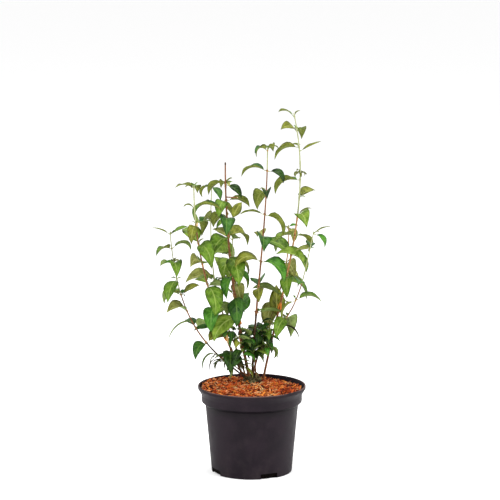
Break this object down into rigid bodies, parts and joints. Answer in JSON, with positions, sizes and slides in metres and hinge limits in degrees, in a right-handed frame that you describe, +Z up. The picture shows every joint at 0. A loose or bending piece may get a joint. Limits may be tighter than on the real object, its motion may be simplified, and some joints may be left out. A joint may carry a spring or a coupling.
{
  "type": "potted mock orange shrub",
  "caption": "Young many-stemmed mock orange shrub with opposite drooping leaves on slender canes, in a round nursery pot topped with bark mulch.",
  "frame": {"origin": "middle of the pot's flat underside", "axes": "+Z up through the pot; -Y is the side the picture shows"},
  "size_m": [0.2962, 0.2303, 0.6394],
  "materials": {
    "pot": "satin black moulded plastic",
    "compost": "dark crumbly peat compost",
    "bark_mulch": "shredded orange-brown bark",
    "cane_wood": "smooth thin reddish bark",
    "foliage": "soft mid-green leaves, olive beneath"
  },
  "bodies": {
    "root": {"back_left_cane": "cane_wood", "back_left_leaves_1": "foliage", "back_left_leaves_2": "foliage", "bark_mulch": "bark_mulch", "centre_back_cane": "cane_wood", "centre_back_leaves_1": "foliage", "centre_back_leaves_2": "foliage", "centre_cane": "cane_wood", "centre_leaves_1": "foliage", "centre_leaves_2": "foliage", "centre_leaves_3": "foliage", "compost": "compost", "far_left_cane": "cane_wood", "far_left_leaves_1": "foliage", "far_left_leaves_2": "foliage", "far_left_leaves_3": "foliage", "far_right_cane": "cane_wood", "far_right_leaves_1": "foliage", "far_right_leaves_2": "foliage", "inner_right_cane": "cane_wood", "inner_right_leaves_1": "foliage", "inner_right_leaves_2": "foliage", "left_cane": "cane_wood", "left_leaves_1": "foliage", "left_leaves_2": "foliage", "left_leaves_3": "foliage", "low_left_sprig": "foliage", "low_thicket": "foliage", "pot": "pot", "right_centre_cane": "cane_wood", "right_centre_leaves_1": "foliage", "right_centre_leaves_2": "foliage", "right_centre_leaves_3": "foliage", "root_crown": "cane_wood", "tall_right_cane": "cane_wood", "tall_right_leaves_1": "foliage", "tall_right_leaves_2": "foliage", "tall_right_leaves_3": "foliage", "tall_right_leaves_4": "foliage"}
  },
  "joints": []
}
